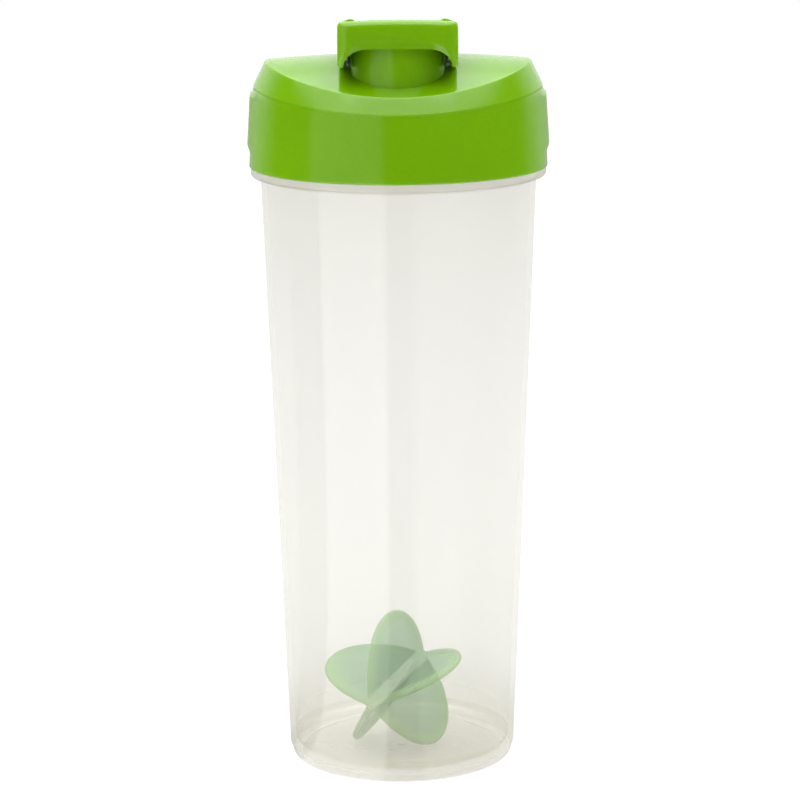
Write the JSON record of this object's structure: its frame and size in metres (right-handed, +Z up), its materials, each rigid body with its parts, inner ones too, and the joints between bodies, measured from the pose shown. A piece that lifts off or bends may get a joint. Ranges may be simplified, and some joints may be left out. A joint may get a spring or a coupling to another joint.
{
  "type": "shaker cup",
  "caption": "Tall tapered translucent cup with a screw-on lid, a round drinking spout under a hinged flip cap, soft seals and a loose mixing star inside",
  "frame": {"origin": "centre of the cup's foot, on the surface it stands on", "axes": "+Z up along the cup's axis, -Y towards the drinking spout, +X to the right as seen from the spout's side"},
  "size_m": [0.0916, 0.0902, 0.2338],
  "materials": {
    "natural_polypropylene": "milky translucent, smooth moulded",
    "lid_green_polypropylene": "semi-gloss moulded",
    "cap_green_polypropylene": "semi-gloss moulded",
    "clear_green_polypropylene": "translucent, smooth moulded",
    "gasket_white_silicone": "soft satin",
    "seal_white_silicone": "soft satin"
  },
  "bodies": {
    "cup": {"cup_body": "natural_polypropylene"},
    "lid": {"lid": "lid_green_polypropylene", "lid_gasket": "gasket_white_silicone"},
    "cap": {"flip_cap": "cap_green_polypropylene", "spout_seal": "seal_white_silicone"},
    "agitator": {"agitator": "clear_green_polypropylene"}
  },
  "joints": [
    {"name": "lid_lift", "type": "slide", "parent": "cup", "child": "lid", "axis": [0, 0, 1], "range_m": [0, 0.1]},
    {"name": "cap_hinge", "type": "hinge", "parent": "lid", "child": "cap", "pos_m": [0, 0.004, 0.2262], "axis": [-1, 0, 0], "range_deg": [0, 185]},
    {"name": "agitator_slide", "type": "slide", "parent": "cup", "child": "agitator", "axis": [0, 0, 1], "range_m": [0, 0.15]}
  ]
}
